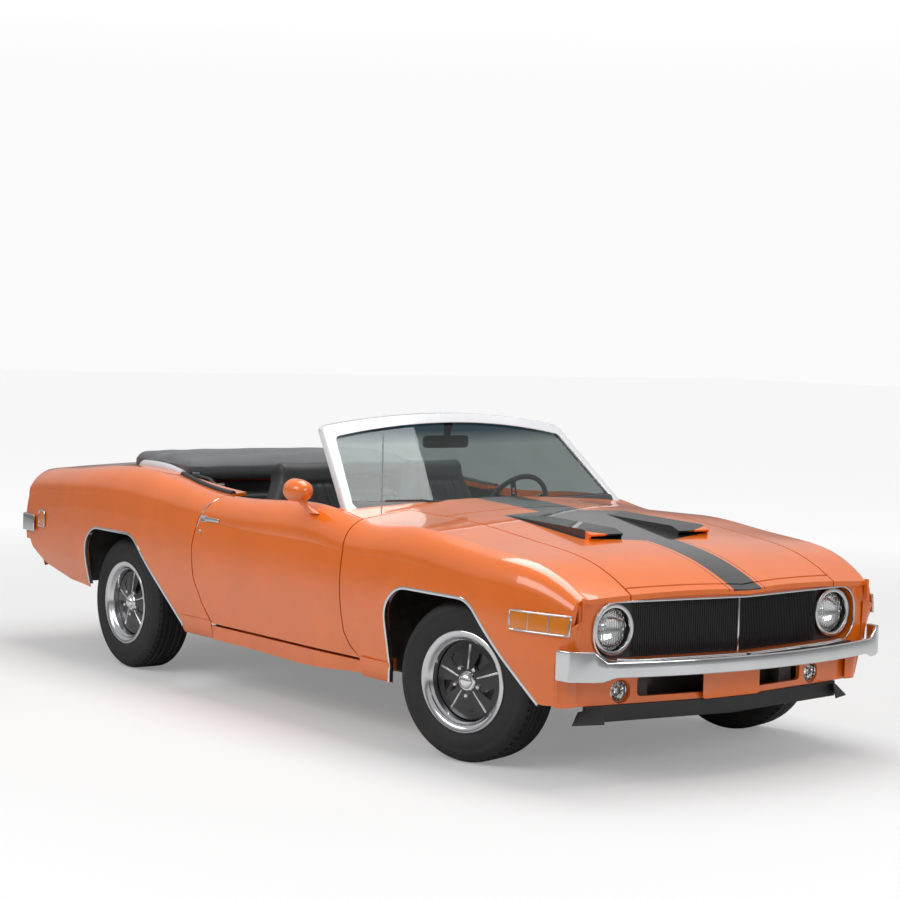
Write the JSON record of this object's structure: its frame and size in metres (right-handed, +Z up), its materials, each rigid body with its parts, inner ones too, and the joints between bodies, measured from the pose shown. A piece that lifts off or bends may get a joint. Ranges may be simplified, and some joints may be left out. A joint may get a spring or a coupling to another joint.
{
  "type": "two-door convertible muscle car",
  "caption": "Two-door convertible car, top folded, with opening doors, hood and deck lid, steering front wheels and free-rolling wheels.",
  "frame": {"origin": "on the ground under the middle of the car's length and width", "axes": "+X forward, +Y to the car's left, +Z up"},
  "size_m": [4.7798, 1.908, 1.352],
  "materials": {
    "body_paint": "glossy orange",
    "frame_paint": "glossy white",
    "black_paint": "satin black",
    "underbody": "matt black",
    "chrome": "polished",
    "glass": "clear, faintly green",
    "lamp_glass": "clear",
    "red_lens": "glossy red",
    "black_plastic": "matt black",
    "vinyl": "black vinyl",
    "top_cloth": "dark grey",
    "tyre": "matt black",
    "rim": "polished with black spokes",
    "steel": "bare steel",
    "iron": "cast"
  },
  "bodies": {
    "chassis": {"antenna": "chrome", "chin_spoiler": "black_plastic", "cowl_panel": "body_paint", "dashboard": "black_plastic", "engine_block": "iron", "exhaust": "steel", "fender_left": "body_paint", "fender_right": "body_paint", "firewall": "underbody", "floor_pan": "underbody", "folded_top": "top_cloth", "front_bumper": "chrome", "front_lamps": "lamp_glass", "front_plate": "body_paint", "front_seats": "vinyl", "front_suspension": "steel", "front_valance": "body_paint", "fuel_tank": "steel", "grille": "black_plastic", "grille_trim": "chrome", "inside_mirror": "black_plastic", "nose_panel": "body_paint", "quarter_left": "body_paint", "quarter_right": "body_paint", "rear_axle": "steel", "rear_bumper": "chrome", "rear_seat": "vinyl", "rear_trim": "black_plastic", "side_markers": "red_lens", "sills": "body_paint", "tail_lamps": "red_lens", "tail_panel": "body_paint", "wheelhouses": "underbody", "windshield_frame": "frame_paint", "windshield_glass": "glass"},
    "hood": {"hood": "body_paint"},
    "deck_lid": {"deck_lid": "body_paint"},
    "door_left": {"door_left": "body_paint", "fittings_left": "chrome"},
    "door_right": {"door_right": "body_paint", "fittings_right": "chrome", "mirror_right": "body_paint"},
    "steering_wheel": {"steering_wheel": "black_plastic"},
    "knuckle_left": {"knuckle_left": "iron"},
    "knuckle_right": {"knuckle_right": "iron"},
    "wheel_front_left": {"rim_front_left": "rim", "tyre_front_left": "tyre"},
    "wheel_front_right": {"rim_front_right": "rim", "tyre_front_right": "tyre"},
    "wheel_rear_left": {"rim_rear_left": "rim", "tyre_rear_left": "tyre"},
    "wheel_rear_right": {"rim_rear_right": "rim", "tyre_rear_right": "tyre"}
  },
  "joints": [
    {"name": "hood_hinge", "type": "hinge", "parent": "chassis", "child": "hood", "pos_m": [1.01, 0, 0.975], "axis": [0, -1, 0], "range_deg": [0, 50]},
    {"name": "deck_lid_hinge", "type": "hinge", "parent": "chassis", "child": "deck_lid", "pos_m": [-1.5, 0, 1.035], "axis": [0, 1, 0], "range_deg": [0, 60]},
    {"name": "door_left_hinge", "type": "hinge", "parent": "chassis", "child": "door_left", "pos_m": [0.757, 0.928, 0.64], "axis": [0, 0, -1], "range_deg": [0, 60]},
    {"name": "door_right_hinge", "type": "hinge", "parent": "chassis", "child": "door_right", "pos_m": [0.757, -0.928, 0.64], "axis": [0, 0, 1], "range_deg": [0, 60]},
    {"name": "kingpin_left", "type": "hinge", "parent": "chassis", "child": "knuckle_left", "pos_m": [1.49, 0.7, 0.33], "axis": [0, 0, 1], "range_deg": [-48, 16]},
    {"name": "kingpin_right", "type": "hinge", "parent": "chassis", "child": "knuckle_right", "pos_m": [1.49, -0.7, 0.33], "axis": [0, 0, 1], "range_deg": [-48, 16]},
    {"name": "steering_spin", "type": "hinge", "parent": "chassis", "child": "steering_wheel", "pos_m": [0.262, 0.42, 0.89], "axis": [0.9063, 0, -0.4226], "range_deg": [-256, 768]},
    {"name": "wheel_spin_front_left", "type": "hinge", "parent": "knuckle_left", "child": "wheel_front_left", "pos_m": [1.47622, 0.74806, 0.33], "axis": [-0.2756, 0.9613, 0], "continuous": true},
    {"name": "wheel_spin_front_right", "type": "hinge", "parent": "knuckle_right", "child": "wheel_front_right", "pos_m": [1.50378, -0.74806, 0.33], "axis": [-0.2756, 0.9613, 0], "continuous": true},
    {"name": "wheel_spin_rear_left", "type": "hinge", "parent": "chassis", "child": "wheel_rear_left", "pos_m": [-1.265, 0.75, 0.33], "axis": [0, 1, 0], "continuous": true},
    {"name": "wheel_spin_rear_right", "type": "hinge", "parent": "chassis", "child": "wheel_rear_right", "pos_m": [-1.265, -0.75, 0.33], "axis": [0, 1, 0], "continuous": true}
  ],
  "couplings": [
    {"joint": "kingpin_right", "follows": "kingpin_left", "ratio": 1},
    {"joint": "steering_spin", "follows": "kingpin_left", "ratio": -16}
  ]
}
